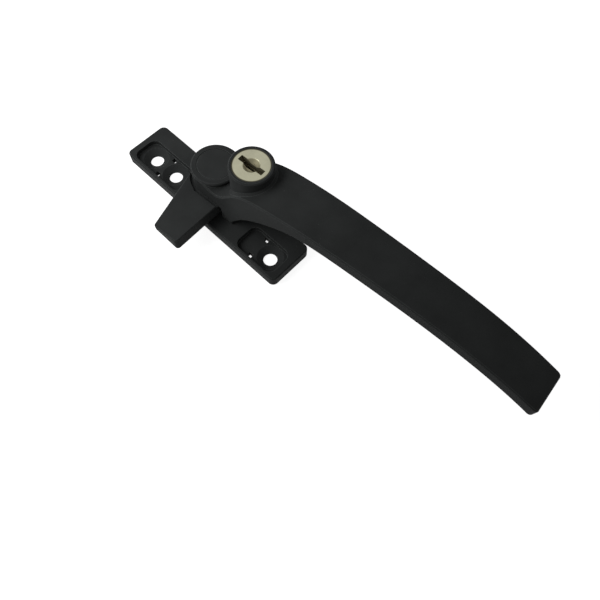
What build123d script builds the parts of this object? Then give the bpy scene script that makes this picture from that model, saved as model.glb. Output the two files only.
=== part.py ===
from build123d import *
import os
from math import atan2, cos, degrees, hypot, radians, sin

# A locking cam handle for a hinged window, in millimetres.
# The origin is where the pivot axis meets the back of the base plate.
# +X runs along the plate towards the lever, +Z points away from the window.
# The lever is drawn straight along its own axis, and then swept by SWEEP degrees.

# Gaps between pieces, and how far a cutting shape runs past what it cuts
TURN_GAP = 0.05
SLIDE_GAP = 0.1
DRIVE_GAP = 0.02
OVER = 1.0
FAR_OUT = 60.0

# Base plate
PLATE_LEFT, PLATE_RIGHT = -38.0, 42.0
PLATE_NEAR, PLATE_FAR = -14.0, 4.9
PLATE_T = 4.3
PLATE_CORNER_R = 2.2
PLATE_EDGE = 0.45

# Pockets for the screw covers, with a snap slot near each long wall
POCKET_NEAR, POCKET_FAR = -12.9, -1.9
POCKET_FLOOR = 2.3
POCKET_CORNER_R = 3.0
LEFT_POCKET = (-35.2, -10.0)
RIGHT_POCKET = (21.0, 39.2)
SNAP_XS, SNAP_YS = (-23.0, 27.8), (-11.4, -2.9)
SNAP_LENGTH, SNAP_WIDTH = 1.9, 1.5

# Countersunk screw holes in the pocket floors
SCREW_ROW_Y = -7.1
SCREW_XS = (-29.0, -17.9, 33.7)
SCREW_HOLE_R, SCREW_HOLE_TOP = 2.6, 0.8
COUNTERSINK_R = 5.0

# Pivot
STUD_R = 3.0
STUD_FLANGE_R, STUD_FLANGE_T = 3.8, 1.2
STUD_SQUARE = 4.2
STUD_SHOULDER_Z = 13.9
WASHER_R, WASHER_T = 6.5, 0.3
KEEP_DISC_R, KEEP_DISC_T = 5.4, 2.0
NOTCH_DEPTH, NOTCH_GAP = 1.7, 0.15
STUD_SCREW_R, STUD_SCREW_HEAD_R, STUD_SCREW_HEAD_T = 1.2, 2.9, 1.2
STUD_BORE_END_Z, STUD_SCREW_END_Z = 8.0, 8.5
SCREW_SLOT_WIDTH, SCREW_SLOT_DEPTH = 0.7, 0.6
WAVE_WASHER_R, WAVE_WASHER_T = 4.1, 0.3

# Cam nose: a hub on the plate, and a tongue that stands clear of the plate
NOSE_HUB_R, NOSE_HUB_BOTTOM, NOSE_SEAT = 8.7, PLATE_T + WASHER_T, 10.9
NOSE_BOTTOM, NOSE_TOP = 6.7, 11.8
NOSE_ROOT_LEFT, NOSE_ROOT_RIGHT = (-8.9, -3.8), (9.0, -3.8)
NOSE_TIP_LEFT, NOSE_TIP_RIGHT = (-0.7, -29.8), (9.9, -29.0)
NOSE_CORNER_R, NOSE_EDGE, SHOULDER_EDGE = 1.3, 0.3, 0.2
NOSE_SHOULDER, SHOULDER_START, SHOULDER_GAP = -10.0, -2.5, 1.2
NOSE_RAMP_RISE, NOSE_RAMP_WIDTH, NOSE_RAMP_START_R = 3.5, 9.6, 15.5
DRIVE_SQUARE, DRIVE_Z = 9.0, 7.6

# Lever: hub, blade and neck
SWEEP = 4.0
HUB_R, HUB_TOP, HUB_BOTTOM = 8.8, 18.7, 10.9
HUB_EDGE = 0.4
CAVITY_R, CAVITY_FLOOR = 6.0, 13.6
CAP_R, CAP_T, CAP_EDGE = 6.7, 1.3, 0.25
LEVER_END, LEVER_T = 130.5, 4.3
RAMP_LINE = ((0.0, 18.4), (3.5, 17.6), (7.4, 16.8), (10.0, 17.9), (13.0, 20.7), (16.5, 24.5), (20.0, 27.2))
TOP_LINE = (
    (25.0, 29.3), (34.0, 31.1), (44.0, 32.3), (66.0, 33.15), (90.0, 32.7), (108.0, 31.0), (120.0, 28.6))
UNDERSIDE_START = 3
TIP_TOP_Z = 25.5
TIP_LOW = (130.6, 20.7)
HALF_WIDTHS = ((0.0, 8.8), (26.0, 9.05), (60.0, 8.35), (90.0, 7.75), (120.0, 7.35), (LEVER_END + 0.4, 7.15))
TIP_CORNER_R, LEVER_EDGE = 2.0, 0.4
NECK_LINE = ((50.0, 28.5), (42.0, 27.2), (33.4, 23.4), (24.2, 17.4), (19.0, 12.6))
FOOT_LEFT, FOOT_RIGHT, FOOT_BOTTOM, FOOT_SLOPE = 10.0, 14.4, 4.9, 1.5
BOSS_AT, BOSS_R, BOSS_TOP = 18.5, 7.7, 33.9
BOSS_EDGE, BOSS_BASE = 0.4, 0.8

# Lock housing and plug under the boss
HOUSING_R, HOUSING_BOTTOM = 7.2, 12.6
CHAMBER_R, CHAMBER_FLOOR, CHAMBER_ROOF = 5.8, 13.6, 19.9
PLUG_R, PLUG_BOTTOM = 5.55, 20.0
FLANGE_R, FLANGE_T, FLANGE_DROP = 6.5, 0.9, 0.1
PLUG_TOP = BOSS_TOP - FLANGE_DROP
TAIL_SQUARE, TAIL_END = 4.0, 17.9
KEYWAY_LENGTH, KEYWAY_WIDTH, KEYWAY_END = 9.9, 2.1, 20.9
DISH_TOP_R, DISH_LOW_R, DISH_DEPTH = 2.9, 1.7, 1.2
WAFER_COUNT, WAFER_FIRST_Z, WAFER_PITCH, WAFER_T = 5, 22.0, 2.0, 0.9
WAFER_WIDTH, WAFER_REACH, WAFER_TRAVEL = 6.0, 5.5, 0.5
WAFER_GROOVE_GAP, WAFER_GROOVE_TURNS = 0.25, (0, 90)
WINDOW_LENGTH, WINDOW_WIDTH = 8.0, 2.6
STEP_END, STEP_WIDTH = 2.0, 1.1
SPRING_START, SPRING_STEP, SPRING_POINTS, SPRING_WIRE = -3.5, 1.1, 6, 0.14
SPRING_LOW, SPRING_HIGH = 2.15, 2.85

# Bolt, and the scroll cam that drives it
BOLT_WIDTH, BOLT_BOTTOM, BOLT_TOP, BOLT_CHAMFER = 4.1, 13.7, 16.0, 0.5
BOLT_TIP, BOLT_TAIL, BOLT_TRAVEL = 5.75, 21.5, 1.4
BOLT_SLOT_START, BOLT_SLOT_TOP = 4.0, 16.15
BOLT_PIN_R, BOLT_PIN_TOP = 0.7, 17.6
CAM_R, CAM_BOTTOM, CAM_TOP = 5.6, 16.3, 19.6
GROOVE_START_R, GROOVE_DEPTH, GROOVE_GAP = 2.9, 1.5, 0.12
GROOVE_LEAD_IN, GROOVE_LEAD_OUT, GROOVE_STEPS = 20, 14, 12
CAM_SCREW_R, CAM_SCREW_HEAD_R, CAM_SCREW_HEAD_T = 0.8, 1.4, 0.7
CAM_SCREW_END, CAM_SCREW_BORE_END = 21.5, 22.0


def rod(radius, low, high, x=0.0, y=0.0):
    """An upright cylinder between two heights."""
    return Pos(x, y, low) * Cylinder(radius, high - low, align=(Align.CENTER, Align.CENTER, Align.MIN))


def funnel(low_r, high_r, low, high, x=0.0, y=0.0):
    """An upright cone between two heights."""
    return Pos(x, y, low) * Cone(low_r, high_r, high - low, align=(Align.CENTER, Align.CENTER, Align.MIN))


def block(x1, x2, y1, y2, z1, z2):
    """A box between two corners."""
    return Pos(x1, y1, z1) * Box(x2 - x1, y2 - y1, z2 - z1, align=(Align.MIN, Align.MIN, Align.MIN))


def square_bar(side, low, high):
    return block(-side / 2, side / 2, -side / 2, side / 2, low, high)


def swept(part):
    """Turn a piece from the lever's own axis to its place on the plate."""
    return Rot(0, 0, SWEEP) * part


def pocket(ends):
    """The recess that one snap-in screw cover fills."""
    left, right = ends
    width, depth = right - left, POCKET_FAR - POCKET_NEAR
    outline = RectangleRounded(width, depth, POCKET_CORNER_R)
    return Pos((left + right) / 2, (POCKET_NEAR + POCKET_FAR) / 2, POCKET_FLOOR) * extrude(outline, PLATE_T)


def make_base_plate():
    width, depth = PLATE_RIGHT - PLATE_LEFT, PLATE_FAR - PLATE_NEAR
    centre = Pos((PLATE_LEFT + PLATE_RIGHT) / 2, (PLATE_NEAR + PLATE_FAR) / 2)
    plate = extrude(centre * RectangleRounded(width, depth, PLATE_CORNER_R), PLATE_T)
    plate = chamfer(plate.faces().sort_by(Axis.Z)[-1].edges(), PLATE_EDGE)
    plate -= pocket(LEFT_POCKET)
    plate -= pocket(RIGHT_POCKET)
    for x in SNAP_XS:
        for y in SNAP_YS:
            plate -= Pos(x, y) * Box(SNAP_LENGTH, SNAP_WIDTH, 2 * PLATE_T)
    for x in SCREW_XS:
        plate -= rod(SCREW_HOLE_R, -OVER, SCREW_HOLE_TOP + OVER, x, SCREW_ROW_Y)
        plate -= funnel(SCREW_HOLE_R, COUNTERSINK_R, SCREW_HOLE_TOP, POCKET_FLOOR, x, SCREW_ROW_Y)
    plate -= rod(STUD_R, -OVER, PLATE_T + OVER)
    return plate - rod(STUD_FLANGE_R, -OVER, STUD_FLANGE_T)


def make_pivot_stud():
    top = STUD_SHOULDER_Z + KEEP_DISC_T
    stud = rod(STUD_FLANGE_R, 0, STUD_FLANGE_T)
    stud += rod(STUD_R, 0, STUD_SHOULDER_Z)
    stud += square_bar(STUD_SQUARE, STUD_SHOULDER_Z, top)
    return stud - rod(STUD_SCREW_R, STUD_BORE_END_Z, top + OVER)


def make_plate_washer():
    return rod(WASHER_R, PLATE_T, PLATE_T + WASHER_T) - rod(STUD_R + TURN_GAP, 0, STUD_SHOULDER_Z)


def make_wave_washer():
    washer = rod(WAVE_WASHER_R, CAVITY_FLOOR, CAVITY_FLOOR + WAVE_WASHER_T)
    return washer - rod(STUD_R + TURN_GAP, 0, STUD_SHOULDER_Z)


def make_keep_disc():
    """The disc fixed to the stud, notched where the bolt enters at each end of the lever's turn."""
    low, high = STUD_SHOULDER_Z, STUD_SHOULDER_Z + KEEP_DISC_T
    disc = rod(KEEP_DISC_R, low, high) - square_bar(STUD_SQUARE, low - OVER, high + OVER)
    half = BOLT_WIDTH / 2 + NOTCH_GAP
    notch = block(KEEP_DISC_R - NOTCH_DEPTH, KEEP_DISC_R + OVER, -half, half, low - OVER, high + OVER)
    for turn in (0, 90):
        disc -= Rot(0, 0, turn + SWEEP) * notch
    return disc


def make_stud_screw():
    seat = STUD_SHOULDER_Z + KEEP_DISC_T
    top = seat + STUD_SCREW_HEAD_T
    screw = rod(STUD_SCREW_HEAD_R, seat, top)
    screw += rod(STUD_SCREW_R, STUD_SCREW_END_Z, seat)
    half = SCREW_SLOT_WIDTH / 2
    reach = STUD_SCREW_HEAD_R + OVER
    return screw - block(-reach, reach, -half, half, top - SCREW_SLOT_DEPTH, top + OVER)


def make_tongue():
    """The nose's tongue, with softened edges on top and a ramp under its leading flank."""
    outline = Polyline(NOSE_ROOT_LEFT, NOSE_TIP_LEFT, NOSE_TIP_RIGHT, NOSE_ROOT_RIGHT, close=True)
    tongue = extrude(make_face(outline), NOSE_TOP - NOSE_BOTTOM)
    tongue = fillet(tongue.edges().filter_by(Axis.Z).sort_by(Axis.Y)[:2], NOSE_CORNER_R)
    top_edges = tongue.faces().sort_by(Axis.Z)[-1].edges().sort_by(Axis.Y)[:-1]
    tongue = Pos(0, 0, NOSE_BOTTOM) * chamfer(top_edges, NOSE_EDGE)
    (root_x, root_y), (tip_x, tip_y) = NOSE_ROOT_LEFT, NOSE_TIP_LEFT
    slope = NOSE_RAMP_RISE / NOSE_RAMP_WIDTH
    high, wide = NOSE_RAMP_RISE + slope * OVER, NOSE_RAMP_WIDTH + OVER / slope
    section = Polyline((-OVER, -OVER), (-OVER, high), (wide, -OVER), close=True)
    wedge = extrude(Plane.XZ * make_face(section), FAR_OUT, both=True)
    square_to_flank = degrees(atan2(tip_x - root_x, root_y - tip_y))
    wedge = Pos(tip_x, tip_y, NOSE_BOTTOM) * Rot(0, 0, square_to_flank) * wedge
    return tongue - (wedge - rod(NOSE_RAMP_START_R, 0, NOSE_TOP))


def make_cam_nose():
    nose = make_tongue() + rod(NOSE_HUB_R, NOSE_HUB_BOTTOM, NOSE_SEAT)
    seat = rod(HUB_R + SHOULDER_GAP, NOSE_SEAT, NOSE_TOP + OVER)
    seat += swept(block(SHOULDER_START, FAR_OUT, NOSE_SHOULDER, FAR_OUT, NOSE_SEAT, NOSE_TOP + OVER))
    nose -= seat
    shoulder = nose.edges().filter_by(GeomType.LINE).filter_by_position(Axis.Z, NOSE_TOP, NOSE_TOP)
    nose = chamfer(shoulder.sort_by(Axis.Y)[-2:], SHOULDER_EDGE)
    nose -= rod(STUD_R + TURN_GAP, 0, NOSE_TOP)
    return nose - swept(square_bar(DRIVE_SQUARE, DRIVE_Z, NOSE_TOP))


def blade_side():
    """The lever seen from its side: hub, ramp, bowed top, tip, underside, neck and foot."""
    top = RAMP_LINE + TOP_LINE + ((LEVER_END, TIP_TOP_Z),)
    under = [(s, z - LEVER_T) for s, z in reversed(TOP_LINE[UNDERSIDE_START:])]
    lines = Spline(*top)
    lines += Line(top[-1], TIP_LOW)
    lines += Spline(TIP_LOW, *under, *NECK_LINE)
    lines += Polyline(
        NECK_LINE[-1], (FOOT_RIGHT, FOOT_BOTTOM + FOOT_SLOPE), (FOOT_RIGHT, FOOT_BOTTOM),
        (FOOT_LEFT, FOOT_BOTTOM), (FOOT_LEFT, HUB_BOTTOM), (0, HUB_BOTTOM), RAMP_LINE[0])
    return make_face(lines)


def blade_plan():
    """The lever seen from above, with its width along its length."""
    far = Spline(*HALF_WIDTHS)
    near = Spline(*[(s, -w) for s, w in HALF_WIDTHS])
    (start, root), (end, tip) = HALF_WIDTHS[0], HALF_WIDTHS[-1]
    outline = far + near + Line((start, -root), (start, root)) + Line((end, -tip), (end, tip))
    return make_face(outline)


def make_blade():
    """The swept bar of the lever, with its top edges softened."""
    side = extrude(Plane.XZ * blade_side(), FAR_OUT, both=True)
    plan = extrude(blade_plan(), FAR_OUT)
    tip_edges = plan.edges().filter_by(Axis.Z).sort_by(Axis.X)[-2:]
    blade = side & fillet(tip_edges, TIP_CORNER_R)
    top = blade.faces().sort_by(Axis.Z)[-1]
    return chamfer(top.edges().sort_by(Axis.X)[1:], LEVER_EDGE)


def above_neck():
    """Everything above the neck's underside, to trim the boss where it meets the neck."""
    end, low = NECK_LINE[0], NECK_LINE[-1]
    lines = Spline(*NECK_LINE) + Polyline(low, (0, low[1]), (0, FAR_OUT), (end[0], FAR_OUT), end)
    return extrude(Plane.XZ * make_face(lines), FAR_OUT, both=True)


def make_boss():
    boss = rod(BOSS_R, CHAMBER_ROOF, BOSS_TOP, BOSS_AT)
    return chamfer(boss.edges().sort_by(Axis.Z)[-1], BOSS_EDGE) & above_neck()


def make_lever():
    lever = make_blade() + make_boss()
    base = [e for e in lever.edges() if is_boss_base(e)]
    lever = chamfer(base, BOSS_BASE)
    lever += rod(HOUSING_R, HOUSING_BOTTOM, CHAMBER_ROOF, BOSS_AT)
    hub = rod(HUB_R, HUB_BOTTOM, HUB_TOP)
    lever += chamfer(hub.edges().sort_by(Axis.Z)[-1], HUB_EDGE)
    lever += square_bar(DRIVE_SQUARE - 2 * DRIVE_GAP, DRIVE_Z + DRIVE_GAP, HUB_BOTTOM)
    lever -= rod(STUD_R + TURN_GAP, 0, HUB_TOP)
    lever -= rod(CAVITY_R, CAVITY_FLOOR, HUB_TOP + OVER)
    lever -= rod(CAP_R + TURN_GAP, HUB_TOP - CAP_T, HUB_TOP + OVER)
    lever -= rod(CHAMBER_R, HOUSING_BOTTOM - OVER, CHAMBER_ROOF, BOSS_AT)
    lever -= rod(PLUG_R + TURN_GAP, CHAMBER_ROOF - OVER, BOSS_TOP + OVER, BOSS_AT)
    lever -= rod(FLANGE_R + TURN_GAP, PLUG_TOP - FLANGE_T - TURN_GAP, BOSS_TOP + OVER, BOSS_AT)
    half = BOLT_WIDTH / 2 + SLIDE_GAP
    lever -= block(BOLT_SLOT_START, BOLT_TAIL + 6 * SLIDE_GAP, -half, half, CHAMBER_FLOOR, BOLT_SLOT_TOP)
    for turn in WAFER_GROOVE_TURNS:
        lever -= Pos(BOSS_AT, 0, 0) * Rot(0, 0, turn) * wafer_groove()
    return lever


def is_boss_base(edge):
    """True for an edge where the lock's boss rises from the top of the blade."""
    middle = edge.center()
    reach = hypot(middle.X - BOSS_AT, middle.Y)
    return CHAMBER_ROOF < middle.Z < BOSS_TOP - OVER and reach < BOSS_R + OVER and edge.length > BOSS_R


def wafer_groove():
    """The slot in the boss that the wafers spring into when there is no key."""
    reach = WAFER_REACH + WAFER_TRAVEL + WAFER_GROOVE_GAP
    half = WAFER_WIDTH / 2 + 2 * SLIDE_GAP
    return block(0, reach, -half, half, WAFER_FIRST_Z - OVER, WAFER_FIRST_Z + WAFER_COUNT * WAFER_PITCH)


def make_cover_cap():
    cap = rod(CAP_R, HUB_TOP - CAP_T, HUB_TOP)
    return chamfer(cap.edges().sort_by(Axis.Z)[-1], CAP_EDGE)


def make_bolt_cover():
    return rod(CHAMBER_R - DRIVE_GAP, HOUSING_BOTTOM, CHAMBER_FLOOR, BOSS_AT)


def wafer_height(index):
    return WAFER_FIRST_Z + index * WAFER_PITCH


def make_lock_plug():
    """The plug, drawn about its own axis: flange, body, keyway, wafer slots and square tail."""
    plug = rod(FLANGE_R, PLUG_TOP - FLANGE_T, PLUG_TOP)
    plug += rod(PLUG_R, PLUG_BOTTOM, PLUG_TOP - FLANGE_T)
    plug += square_bar(TAIL_SQUARE, TAIL_END, PLUG_BOTTOM)
    length, width = KEYWAY_LENGTH / 2, KEYWAY_WIDTH / 2
    plug -= block(-length, length, -width, width, KEYWAY_END, PLUG_TOP + OVER)
    plug -= funnel(DISH_LOW_R, DISH_TOP_R, PLUG_TOP - DISH_DEPTH, PLUG_TOP)
    half = WAFER_WIDTH / 2 + SLIDE_GAP
    for index in range(WAFER_COUNT):
        low = wafer_height(index) - SLIDE_GAP
        high = low + WAFER_T + 2 * SLIDE_GAP
        plug -= block(-FLANGE_R, FLANGE_R, -half, half, low, high)
    return plug - rod(CAM_SCREW_R, 0, CAM_SCREW_BORE_END)


def make_wafer(index):
    """One flat wafer with its window, and a step that its spring pushes on."""
    low = wafer_height(index)
    high = low + WAFER_T
    half = WAFER_WIDTH / 2
    wafer = rod(WAFER_REACH, low, high) & block(-FLANGE_R, FLANGE_R, -half, half, low, high)
    wafer -= block(-FLANGE_R, STEP_END, half - STEP_WIDTH, half + OVER, low, high)
    length, width = WINDOW_LENGTH / 2, WINDOW_WIDTH / 2
    return wafer - block(-length, length, -width, width, low, high)


def make_wafer_spring(index):
    """A zigzag wire spring in the wafer's step."""
    rows = (SPRING_HIGH, SPRING_LOW)
    corners = [(SPRING_START + i * SPRING_STEP, rows[i % 2]) for i in range(SPRING_POINTS)]
    wire = trace(Polyline(*corners), SPRING_WIRE)
    return Pos(0, 0, wafer_height(index) + SLIDE_GAP) * extrude(wire, WAFER_T - 2 * SLIDE_GAP)


def scroll_line():
    """Centre line of the cam's spiral groove: its radius grows evenly with the plug's turn."""
    points = []
    for i in range(GROOVE_STEPS + 1):
        turn = -GROOVE_LEAD_IN + i * (90 + GROOVE_LEAD_IN + GROOVE_LEAD_OUT) / GROOVE_STEPS
        angle = radians(180 - turn)
        radius = GROOVE_START_R + BOLT_TRAVEL * turn / 90
        points.append((radius * cos(angle), radius * sin(angle)))
    return Spline(*points)


def make_scroll_cam():
    """The disc on the plug's tail: its spiral groove holds the bolt's pin."""
    cam = rod(CAM_R, CAM_BOTTOM, CAM_TOP)
    cam -= rod(CAM_SCREW_HEAD_R + SLIDE_GAP, CAM_BOTTOM - OVER, CAM_BOTTOM + SLIDE_GAP + CAM_SCREW_HEAD_T)
    cam -= rod(CAM_SCREW_R + TURN_GAP, CAM_BOTTOM, CAM_TOP)
    cam -= square_bar(TAIL_SQUARE + 2 * DRIVE_GAP, TAIL_END - DRIVE_GAP, CAM_TOP + OVER)
    groove = trace(scroll_line(), 2 * (BOLT_PIN_R + GROOVE_GAP))
    return cam - Pos(0, 0, CAM_BOTTOM) * extrude(groove, GROOVE_DEPTH)


def make_cam_screw():
    low = CAM_BOTTOM + SLIDE_GAP
    seat = low + CAM_SCREW_HEAD_T
    return rod(CAM_SCREW_HEAD_R, low, seat) + rod(CAM_SCREW_R, seat, CAM_SCREW_END)


def make_lock_bolt():
    half = BOLT_WIDTH / 2
    bolt = block(BOLT_TIP, BOLT_TAIL, -half, half, BOLT_BOTTOM, BOLT_TOP)
    bolt = chamfer(bolt.edges().filter_by(Axis.Z).sort_by(Axis.X)[:2], BOLT_CHAMFER)
    return bolt + rod(BOLT_PIN_R, BOLT_TOP, BOLT_PIN_TOP, BOSS_AT - GROOVE_START_R)


def at_boss(part):
    return swept(Pos(BOSS_AT, 0, 0) * part)


def make_parts():
    parts = {
        "base_plate": make_base_plate(),
        "pivot_stud": make_pivot_stud(),
        "plate_washer": make_plate_washer(),
        "wave_washer": make_wave_washer(),
        "keep_disc": make_keep_disc(),
        "stud_screw": make_stud_screw(),
        "cam_nose": make_cam_nose(),
        "lever": swept(make_lever()),
        "cover_cap": make_cover_cap(),
        "bolt_cover": swept(make_bolt_cover()),
        "lock_plug": at_boss(make_lock_plug()),
        "scroll_cam": at_boss(make_scroll_cam()),
        "cam_screw": at_boss(make_cam_screw()),
        "lock_bolt": swept(make_lock_bolt()),
    }
    for index in range(WAFER_COUNT):
        parts[f"wafer_{index + 1}"] = at_boss(make_wafer(index))
        parts[f"wafer_spring_{index + 1}"] = at_boss(make_wafer_spring(index))
    return parts


def main():
    os.makedirs("parts", exist_ok=True)
    for name, part in make_parts().items():
        export_step(part, f"parts/{name}.step")


main()
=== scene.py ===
from math import cos, radians, sin

import bpy
from bpy.props import FloatProperty, FloatVectorProperty, PointerProperty
from bpy.types import Operator, Panel, PropertyGroup
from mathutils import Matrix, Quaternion, Vector


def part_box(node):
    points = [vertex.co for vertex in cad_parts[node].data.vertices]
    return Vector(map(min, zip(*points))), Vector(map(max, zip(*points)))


bl_info = {
    "name": "Cam handle",
    "version": (1, 0, 0),
    "blender": (4, 5, 0),
    "location": "View3D > Sidebar > Cam handle",
    "description": "Finishes a locking window handle: powder coat, plated lock, inner steel and stage",
    "category": "Object",
}

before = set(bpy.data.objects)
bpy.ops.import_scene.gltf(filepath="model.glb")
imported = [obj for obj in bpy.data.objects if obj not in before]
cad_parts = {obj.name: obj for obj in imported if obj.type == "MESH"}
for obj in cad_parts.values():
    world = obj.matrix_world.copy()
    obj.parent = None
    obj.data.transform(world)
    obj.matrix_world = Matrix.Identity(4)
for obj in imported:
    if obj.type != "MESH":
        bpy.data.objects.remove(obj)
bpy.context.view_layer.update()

CASTINGS = ("base_plate", "cam_nose", "lever")
STEEL_PIECES = ("pivot_stud", "wave_washer", "keep_disc", "stud_screw", "bolt_cover",
                "scroll_cam", "cam_screw", "lock_bolt")
SPRINGS = tuple(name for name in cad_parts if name.startswith("wafer_spring"))
WAFERS = tuple(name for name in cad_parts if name.startswith("wafer_") and name not in SPRINGS)

WHITE = (1.0, 1.0, 1.0, 1.0)
FACE_TOLERANCE = 1e-6
SLOW_TO_GRAIN = 0.15
METAL_GRAIN_STRENGTH = 0.5
CAMERA_CLIP_START = 0.01


def node_object(name):
    """The mesh object of one CAD node."""
    found = bpy.data.objects.get(name)
    if found is None:
        raise RuntimeError(f"no object for the node {name}")
    return found


def dress(name, material):
    """Give a CAD node one material in place of the plain one that it came with."""
    for slot in node_object(name).material_slots:
        slot.material = material


def grey(value):
    """A grey, with its alpha."""
    return (value, value, value, 1.0)


def shade(colour, factor):
    """A colour made darker or paler, with its alpha."""
    return (*[min(1.0, part * factor) for part in colour], 1.0)


class Recipe:
    """A node material being built up, one named step at a time."""

    def __init__(self, name):
        self.material = bpy.data.materials.new(name)
        self.material.use_nodes = True
        self.tree = self.material.node_tree
        self.shader = self.tree.nodes["Principled BSDF"]
        self.place = self.tree.nodes.new("ShaderNodeTexCoord").outputs["Object"]

    def join(self, source, target):
        self.tree.links.new(source, target)

    def set(self, **values):
        """Set the shader's own sockets, with an underscore for each space in their names."""
        for name, value in values.items():
            self.shader.inputs[name.replace("_", " ")].default_value = value

    def link(self, source, socket):
        """Feed one of the shader's sockets."""
        self.join(source, self.shader.inputs[socket])

    def noise(self, scale, detail=2.0):
        """Noise with about this many waves for each metre."""
        node = self.tree.nodes.new("ShaderNodeTexNoise")
        node.inputs["Scale"].default_value = scale
        node.inputs["Detail"].default_value = detail
        self.join(self.place, node.inputs["Vector"])
        return node.outputs["Fac"]

    def ramp(self, source, low, high, start=0.3, end=0.7):
        """The low colour where the source is at start or under it, and the high one from end upwards."""
        node = self.tree.nodes.new("ShaderNodeValToRGB")
        for element, position, colour in zip(node.color_ramp.elements, (start, end), (low, high)):
            element.position = position
            element.color = colour
        self.join(source, node.inputs["Fac"])
        return node.outputs["Color"]

    def tones(self, source, colour, factors, start=0.3, end=0.7):
        """One colour that goes from its first tone to its second."""
        low, high = [shade(colour, factor) for factor in factors]
        return self.ramp(source, low, high, start, end)

    def vary_roughness(self, source, middle, steps, start=0.3, end=0.7):
        """Roughness that goes from the first step off its middle value to the second."""
        low, high = [grey(middle + step) for step in steps]
        self.link(self.ramp(source, low, high, start, end), "Roughness")

    def blend(self, factor, low, high):
        """Mix two colours, each of them a socket or a value."""
        node = self.tree.nodes.new("ShaderNodeMix")
        node.data_type = "RGBA"
        self.join(factor, node.inputs["Factor"])
        for name, value in (("A", low), ("B", high)):
            if isinstance(value, tuple):
                node.inputs[name].default_value = value
            else:
                self.join(value, node.inputs[name])
        return node.outputs["Result"]

    def between(self, source, low, high):
        """0 at the low value and 1 at the high one."""
        node = self.tree.nodes.new("ShaderNodeMapRange")
        node.inputs["From Min"].default_value = low
        node.inputs["From Max"].default_value = high
        self.join(source, node.inputs["Value"])
        return node.outputs["Result"]

    def height(self):
        """Height above the plate's back face."""
        node = self.tree.nodes.new("ShaderNodeSeparateXYZ")
        self.join(self.place, node.inputs["Vector"])
        return node.outputs["Z"]

    def axis_distance(self, x, y):
        """Distance from the upright axis through x, y."""
        flat = self.tree.nodes.new("ShaderNodeVectorMath")
        flat.operation = "MULTIPLY"
        flat.inputs[1].default_value = (1.0, 1.0, 0.0)
        self.join(self.place, flat.inputs[0])
        node = self.tree.nodes.new("ShaderNodeVectorMath")
        node.operation = "DISTANCE"
        node.inputs[1].default_value = (x, y, 0.0)
        self.join(flat.outputs["Vector"], node.inputs[0])
        return node.outputs["Value"]

    def soft_edge(self, radius, samples=6):
        """A normal that rounds every sharp edge by this radius."""
        node = self.tree.nodes.new("ShaderNodeBevel")
        node.samples = samples
        node.inputs["Radius"].default_value = radius
        return node.outputs["Normal"]

    def edge_mask(self, soft_normal, flat_cosine=0.985, edge_cosine=0.90):
        """0 on flat faces and 1 on edges, where the rounded normal turns away from the true one."""
        true_normal = self.tree.nodes.new("ShaderNodeNewGeometry").outputs["True Normal"]
        node = self.tree.nodes.new("ShaderNodeVectorMath")
        node.operation = "DOT_PRODUCT"
        self.join(soft_normal, node.inputs[0])
        self.join(true_normal, node.inputs[1])
        return self.between(node.outputs["Value"], flat_cosine, edge_cosine)

    def bump(self, source, height, strength, under=None):
        """A normal with small waves of this height, on top of another normal where one is given."""
        node = self.tree.nodes.new("ShaderNodeBump")
        node.inputs["Strength"].default_value = strength
        node.inputs["Distance"].default_value = height
        self.join(source, node.inputs["Height"])
        if under is not None:
            self.join(under, node.inputs["Normal"])
        return node.outputs["Normal"]


def black_finish(name, settings, tones, dulling, strength, cloud=1.0, waves=1.0, height=1.0, speck_tone=None):
    """A satin black: a slow change of tone, fine orange peel, a painted highlight along the edges and, with a
    tone, specks.

    cloud, waves and height are factors on the coat's settings, and dulling holds two steps of roughness.
    """
    recipe = Recipe(name)
    recipe.set(Metallic=0.0, IOR=1.45, Specular_IOR_Level=settings.gloss)
    slow = recipe.noise(settings.cloud_scale * cloud, detail=3.0)
    ground = recipe.tones(slow, settings.colour, tones, start=0.35, end=0.70)
    if speck_tone is not None:
        fine = recipe.noise(settings.speck_scale, detail=1.0)
        specks = recipe.ramp(fine, grey(0.0), grey(1.0), start=0.79, end=0.82)
        ground = recipe.blend(specks, ground, shade(settings.colour, speck_tone))
    soft = recipe.soft_edge(settings.edge_radius)
    # Painted highlight: the edges are painted paler than the flat faces, where light would catch them.
    painted_highlight = shade(settings.colour, settings.edge_highlight_tone)
    recipe.link(recipe.blend(recipe.edge_mask(soft), ground, painted_highlight), "Base Color")
    recipe.vary_roughness(slow, settings.roughness, dulling)
    peel = recipe.noise(settings.peel_scale * waves)
    recipe.link(recipe.bump(peel, settings.peel_height * height, strength, under=soft), "Normal")
    return recipe.material


def powder_coat(settings):
    """Satin black powder coat of the castings, with a few pale specks."""
    return black_finish("satin_black_coat", settings, tones=(1.0, 1.3), dulling=(-0.04, 0.05), strength=0.6,
                        speck_tone=settings.speck_tone)


def cap_plastic(settings):
    """Smooth black plastic of the hub's cover."""
    return black_finish("black_cap_plastic", settings, tones=(1.15, 1.4), dulling=(-0.06, 0.02),
                        strength=0.5, cloud=1.6, waves=1.4, height=0.6)


def grained_metal(recipe, colour, tones, grain_scale, grain_height):
    """Give a recipe a metal's fine grain, and return its slow noise and the colour that follows it."""
    recipe.set(Metallic=1.0)
    slow = recipe.noise(grain_scale * SLOW_TO_GRAIN, detail=3.0)
    grain = recipe.bump(recipe.noise(grain_scale), grain_height, METAL_GRAIN_STRENGTH)
    recipe.link(grain, "Normal")
    return slow, recipe.tones(slow, colour, tones)


def plain_metal(name, colour, tones, roughness, grain_scale, grain_height):
    """A metal whose tone, gloss and fine grain vary a little."""
    recipe = Recipe(name)
    slow, ground = grained_metal(recipe, colour, tones, grain_scale, grain_height)
    recipe.link(ground, "Base Color")
    recipe.vary_roughness(slow, roughness, (-0.05, 0.08))
    return recipe.material


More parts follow.
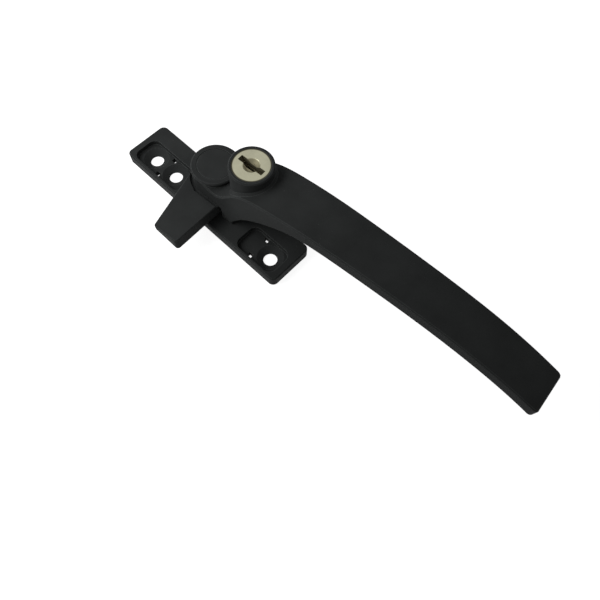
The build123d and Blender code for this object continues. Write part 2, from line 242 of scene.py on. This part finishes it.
def wafer_brass(settings):
    """Plain brass of the wafers."""
    return plain_metal("wafer_brass", settings.brass, tones=(0.7, 1.0), roughness=settings.brass_roughness,
                       grain_scale=2500.0, grain_height=0.00001)


def plated_steel(settings):
    """Zinc-plated steel of the inner pieces."""
    return plain_metal("plated_steel", settings.steel, tones=(0.8, 1.0), roughness=settings.steel_roughness,
                       grain_scale=1800.0, grain_height=0.00001)


def slide_nylon(settings):
    """Black nylon of the slide washer."""
    recipe = Recipe("slide_nylon")
    recipe.set(Roughness=settings.nylon_roughness)
    recipe.link(recipe.tones(recipe.noise(settings.nylon_scale), settings.nylon, (1.0, 1.4)), "Base Color")
    return recipe.material


def middle_and_half(values):
    """The middle of a row of numbers, and half the way from the least to the greatest."""
    low, high = min(values), max(values)
    return (low + high) / 2, (high - low) / 2


def plug_nickel(settings, piece):
    """Satin nickel on the plug's face, painted shade in its dish and keyway, and a painted shadow line at the
    face's rim.
    """
    points = [vertex.co for vertex in piece.data.vertices]
    face_height = max(point.z for point in points)
    face = [point for point in points if point.z > face_height - FACE_TOLERANCE]
    x, radius = middle_and_half([point.x for point in face])
    y, _ = middle_and_half([point.y for point in face])
    recipe = Recipe("satin_nickel")
    _, ground = grained_metal(recipe, settings.nickel, tones=(0.9, 1.06), grain_scale=1500.0,
                              grain_height=0.00002)
    # Painted shade: 1 on the face and 0 below it, in the dish and keyway.
    on_face = recipe.between(recipe.height(), face_height - settings.recess_shade_drop, face_height)
    # Painted shadow: a dark line painted just inside the face's rim, where the plug meets the boss.
    rim = recipe.between(recipe.axis_distance(x, y), radius - settings.rim_shadow_width,
                         radius - settings.rim_shadow_width / 2)
    plated = recipe.blend(rim, ground, shade(settings.recess_shade, settings.rim_shadow_tone))
    # Painted shade: the dish and keyway below the face are painted in a darker colour.
    recipe.link(recipe.blend(on_face, shade(settings.recess_shade, 1.0), plated), "Base Color")
    recipe.vary_roughness(on_face, settings.nickel_roughness, (settings.recess_dulling, 0.0),
                          start=0.0, end=1.0)
    return recipe.material


class CoatSettings(PropertyGroup):
    colour: FloatVectorProperty(name="Coat colour", description="Colour of the powder coat", subtype="COLOR",
                                size=3, min=0.0, max=1.0, default=(0.0270, 0.0286, 0.0284))
    gloss: FloatProperty(name="Gloss", description="Strength of the coat's reflection", default=0.02,
                         min=0.0, max=1.0, subtype="FACTOR")
    roughness: FloatProperty(name="Roughness", description="Roughness of the satin coat", default=0.50,
                             min=0.0, max=1.0, subtype="FACTOR")
    edge_radius: FloatProperty(name="Edge radius", description="Radius that the coat gives to sharp edges",
                               default=0.00035, unit="LENGTH", precision=5)
    # Painted highlight: how much paler the coat is painted along its edges.
    edge_highlight_tone: FloatProperty(name="Edge tone", description="How much paler the rubbed edges are", default=3.0)
    peel_scale: FloatProperty(name="Peel scale", description="Waves of orange peel for each metre",
                              default=1900.0)
    peel_height: FloatProperty(name="Peel height", description="Height of the orange peel", default=0.00004,
                               unit="LENGTH", precision=6)
    speck_scale: FloatProperty(name="Speck scale", description="Specks for each metre", default=2200.0)
    speck_tone: FloatProperty(name="Speck tone", description="How much paler the specks are", default=3.5)
    cloud_scale: FloatProperty(name="Cloud scale", description="Slow change of tone for each metre",
                               default=90.0)


class LockSettings(PropertyGroup):
    nickel: FloatVectorProperty(name="Nickel", description="Colour of the plated face", subtype="COLOR",
                                size=3, default=(0.38, 0.37, 0.27))
    nickel_roughness: FloatProperty(name="Nickel roughness", description="Roughness of the satin nickel face",
                                    default=0.38, subtype="FACTOR")
    # Painted shade: the colour painted on the plug below its face.
    recess_shade: FloatVectorProperty(name="Recess", description="Colour of the cut metal below the face",
                                subtype="COLOR", size=3, default=(0.19, 0.175, 0.115))
    # Painted shade: how far below the face the painted shade begins.
    recess_shade_drop: FloatProperty(name="Recess drop", description="How far below the face the cut metal starts",
                               default=0.0003, unit="LENGTH", precision=5)
    # The metal below the face, where the shade is painted, is also made rougher.
    recess_dulling: FloatProperty(name="Recess dulling", description="How much rougher the cut metal is",
                                  default=0.25, subtype="FACTOR")
    # Painted shadow: width of the dark line painted at the face's rim.
    rim_shadow_width: FloatProperty(name="Rim width", description="Width of the dark line at the face's rim",
                             default=0.0005, unit="LENGTH", precision=5)
    # Painted shadow: how dark the painted rim line is, against the painted shade below the face.
    rim_shadow_tone: FloatProperty(name="Rim tone", description="How dark the rim line is beside the cut metal",
                            default=0.25)
    brass: FloatVectorProperty(name="Brass", description="Colour of the wafers", subtype="COLOR", size=3,
                               default=(0.40, 0.34, 0.23))
    brass_roughness: FloatProperty(name="Brass roughness", description="Roughness of the wafers",
                                   default=0.4, subtype="FACTOR")


class InnerSettings(PropertyGroup):
    steel: FloatVectorProperty(name="Steel", description="Colour of the zinc-plated inner pieces",
                               subtype="COLOR", size=3, default=(0.45, 0.46, 0.47))
    steel_roughness: FloatProperty(name="Steel roughness", description="Roughness of the inner pieces",
                                   default=0.34, subtype="FACTOR")
    nylon: FloatVectorProperty(name="Nylon", description="Colour of the slide washer", subtype="COLOR",
                               size=3, default=(0.03, 0.03, 0.03))
    nylon_roughness: FloatProperty(name="Nylon roughness", description="Roughness of the slide washer",
                                   default=0.5, subtype="FACTOR")
    nylon_scale: FloatProperty(name="Nylon scale", description="Slow change of tone for each metre",
                               default=400.0)


class StageSettings(PropertyGroup):
    aim: FloatVectorProperty(name="Aim", description="Point that the camera looks at", subtype="TRANSLATION",
                             size=3, default=(0.05236, -0.01098, 0.0))
    distance: FloatProperty(name="Camera distance", description="From the point looked at to the camera",
                            default=0.18446, unit="LENGTH")
    azimuth: FloatProperty(name="Camera azimuth", description="Turn of the camera about Z, from the front",
                           default=radians(40.734), subtype="ANGLE")
    elevation: FloatProperty(name="Camera elevation", description="Height of the camera above the floor",
                             default=radians(67.233), subtype="ANGLE")
    roll: FloatProperty(name="Camera roll", description="Turn of the picture", default=radians(3.019),
                        subtype="ANGLE")
    focal: FloatProperty(name="Focal length", description="Lens of the camera", default=31.2, unit="CAMERA")
    sensor: FloatProperty(name="Sensor width", description="Width of the camera's sensor", default=36.0,
                          unit="CAMERA")
    background: FloatProperty(name="Background", description="Brightness of the backdrop where it is seen",
                              default=1.0, min=0.0)
    floor_drop: FloatProperty(name="Floor drop", description="How far the floor lies below the plate",
                              default=0.00005, unit="LENGTH", precision=5)
    floor_glow: FloatProperty(name="Floor glow", description="Brightness of the floor that no shadow darkens",
                              default=0.88, min=0.0, subtype="FACTOR")
    floor_half: FloatProperty(name="Floor half width", description="From the middle of the floor to its edge",
                              default=2.0, unit="LENGTH")
    floor_colour: FloatVectorProperty(name="Floor colour", description="Colour of the floor in plain light",
                                      subtype="COLOR", size=3, default=(0.5, 0.5, 0.5))
    lamp_aim: FloatVectorProperty(name="Lamp aim", description="Point that both lamps face",
                                  subtype="TRANSLATION", size=3, default=(0.03, 0.0, 0.01))
    key_place: FloatVectorProperty(name="Key place", description="Where the key lamp stands",
                                   subtype="TRANSLATION", size=3, default=(-0.12, -0.02, 0.12))
    key_size: FloatProperty(name="Key size", description="Side of the square key lamp", default=0.12,
                            unit="LENGTH")
    key_power: FloatProperty(name="Key power", description="Power of the lamp beyond the plate's left end",
                             default=0.07, unit="POWER")
    front_place: FloatVectorProperty(name="Front place", description="Where the front lamp stands",
                                     subtype="TRANSLATION", size=3, default=(-0.05, -0.10, 0.12))
    front_size: FloatProperty(name="Front size", description="Side of the square front lamp", default=0.10,
                              unit="LENGTH")
    front_power: FloatProperty(name="Front power", description="Power of the lamp in front on the left",
                               default=0.135, unit="POWER")
    fill: FloatProperty(name="Fill", description="Strength of the world's light on plain surfaces",
                        default=0.24)


class HANDLE_OT_castings(Operator):
    """Give the plate, the cam nose and the lever their powder coat"""
    bl_idname = "handle.castings"
    bl_label = "Finish the castings"

    def execute(self, context):
        coat = powder_coat(context.scene.handle_coat)
        for name in CASTINGS:
            dress(name, coat)
        return {"FINISHED"}


class HANDLE_OT_cover(Operator):
    """Give the hub's cover its black plastic"""
    bl_idname = "handle.cover"
    bl_label = "Finish the hub cover"

    def execute(self, context):
        dress("cover_cap", cap_plastic(context.scene.handle_coat))
        return {"FINISHED"}


class HANDLE_OT_lock(Operator):
    """Give the lock plug its nickel and the wafers their brass"""
    bl_idname = "handle.lock"
    bl_label = "Finish the lock"

    def execute(self, context):
        settings = context.scene.handle_lock
        dress("lock_plug", plug_nickel(settings, node_object("lock_plug")))
        brass = wafer_brass(settings)
        for name in WAFERS:
            dress(name, brass)
        return {"FINISHED"}


class HANDLE_OT_inner(Operator):
    """Give the hidden steel and nylon pieces their finishes"""
    bl_idname = "handle.inner"
    bl_label = "Finish the inner pieces"

    def execute(self, context):
        settings = context.scene.handle_inner
        steel = plated_steel(settings)
        for name in STEEL_PIECES + SPRINGS:
            dress(name, steel)
        dress("plate_washer", slide_nylon(settings))
        return {"FINISHED"}


def seen_directly(tree):
    """1 for a ray from the camera, in a gloss or through glass, and 0 for one that lights a surface."""
    path = tree.nodes.new("ShaderNodeLightPath")
    seen = path.outputs["Is Camera Ray"]
    for name in ("Is Glossy Ray", "Is Transmission Ray"):
        either = tree.nodes.new("ShaderNodeMath")
        either.operation = "MAXIMUM"
        tree.links.new(seen, either.inputs[0])
        tree.links.new(path.outputs[name], either.inputs[1])
        seen = either.outputs["Value"]
    return seen


def backdrop_material(settings):
    """White where it is seen, and a plain pale surface that keeps the shadow."""
    material = bpy.data.materials.new("white_floor")
    material.use_nodes = True
    tree = material.node_tree
    shader = tree.nodes["Principled BSDF"]
    shader.inputs["Base Color"].default_value = shade(settings.floor_colour, 1.0)
    shader.inputs["Roughness"].default_value = 0.9
    shader.inputs["Specular IOR Level"].default_value = 0.0
    shader.inputs["Emission Color"].default_value = WHITE
    scale = tree.nodes.new("ShaderNodeMath")
    scale.operation = "MULTIPLY"
    scale.inputs[1].default_value = settings.background * settings.floor_glow
    tree.links.new(seen_directly(tree), scale.inputs[0])
    tree.links.new(scale.outputs["Value"], shader.inputs["Emission Strength"])
    return material


def soft_lamp(name, place, aim, size, power):
    """A square lamp that faces the point aimed at."""
    lamp = bpy.data.lights.new(name, "AREA")
    lamp.shape = "SQUARE"
    lamp.size = size
    lamp.energy = power
    item = bpy.data.objects.new(name, lamp)
    item.location = place
    item.rotation_euler = (aim - place).to_track_quat("-Z", "Y").to_euler()
    bpy.context.scene.collection.objects.link(item)


class HANDLE_OT_stage(Operator):
    """Make the floor, the lamps, the world and the camera"""
    bl_idname = "handle.stage"
    bl_label = "Set the stage"

    def execute(self, context):
        settings = context.scene.handle_stage
        self.make_floor(context, settings)
        self.make_light(context, settings)
        self.make_camera(context, settings)
        context.scene.view_settings.view_transform = "Standard"
        return {"FINISHED"}

    def make_floor(self, context, settings):
        mesh = bpy.data.meshes.new("floor")
        half = settings.floor_half
        corners = [(-half, -half, 0), (half, -half, 0), (half, half, 0), (-half, half, 0)]
        mesh.from_pydata(corners, [], [(0, 1, 2, 3)])
        mesh.materials.append(backdrop_material(settings))
        floor = bpy.data.objects.new("floor", mesh)
        floor.location.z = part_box("base_plate")[0][2] - settings.floor_drop
        context.scene.collection.objects.link(floor)

    def make_light(self, context, settings):
        world = bpy.data.worlds.new("studio")
        world.use_nodes = True
        context.scene.world = world
        tree = world.node_tree
        background = tree.nodes["Background"]
        background.inputs["Color"].default_value = WHITE
        mix = tree.nodes.new("ShaderNodeMix")
        mix.data_type = "FLOAT"
        mix.inputs["A"].default_value = settings.fill
        mix.inputs["B"].default_value = settings.background
        tree.links.new(seen_directly(tree), mix.inputs["Factor"])
        tree.links.new(mix.outputs["Result"], background.inputs["Strength"])
        aim = Vector(settings.lamp_aim)
        soft_lamp("key_lamp", Vector(settings.key_place), aim, settings.key_size, settings.key_power)
        soft_lamp("front_lamp", Vector(settings.front_place), aim, settings.front_size, settings.front_power)

    def make_camera(self, context, settings):
        camera = bpy.data.cameras.new("camera")
        camera.sensor_fit = "HORIZONTAL"
        camera.sensor_width = settings.sensor
        camera.lens = settings.focal
        camera.clip_start = CAMERA_CLIP_START
        reach = cos(settings.elevation)
        towards = Vector((sin(settings.azimuth) * reach, -cos(settings.azimuth) * reach,
                          sin(settings.elevation)))
        item = bpy.data.objects.new("camera", camera)
        item.location = Vector(settings.aim) + towards * settings.distance
        item.rotation_mode = "QUATERNION"
        item.rotation_quaternion = towards.to_track_quat("Z", "Y") @ Quaternion((0, 0, 1), settings.roll)
        context.scene.collection.objects.link(item)
        context.scene.camera = item


class HANDLE_PT_panel(Panel):
    """Lists the pieces and the stage"""
    bl_label = "Cam handle"
    bl_idname = "HANDLE_PT_panel"
    bl_space_type = "VIEW_3D"
    bl_region_type = "UI"
    bl_category = "Cam handle"

    def draw(self, context):
        for operator in OPERATORS:
            self.layout.operator(operator.bl_idname)


SETTINGS = {"handle_coat": CoatSettings, "handle_lock": LockSettings, "handle_inner": InnerSettings,
            "handle_stage": StageSettings}
OPERATORS = (HANDLE_OT_castings, HANDLE_OT_cover, HANDLE_OT_lock, HANDLE_OT_inner, HANDLE_OT_stage)


def register():
    for item in (*SETTINGS.values(), *OPERATORS, HANDLE_PT_panel):
        bpy.utils.register_class(item)
    for name, group in SETTINGS.items():
        setattr(bpy.types.Scene, name, PointerProperty(type=group))


def unregister():
    for name in SETTINGS:
        delattr(bpy.types.Scene, name)
    for item in (HANDLE_PT_panel, *reversed(OPERATORS), *reversed(SETTINGS.values())):
        bpy.utils.unregister_class(item)


def main():
    register()
    bpy.ops.handle.castings()
    bpy.ops.handle.cover()
    bpy.ops.handle.lock()
    bpy.ops.handle.inner()
    bpy.ops.handle.stage()


if __name__ == "__main__":
    main()
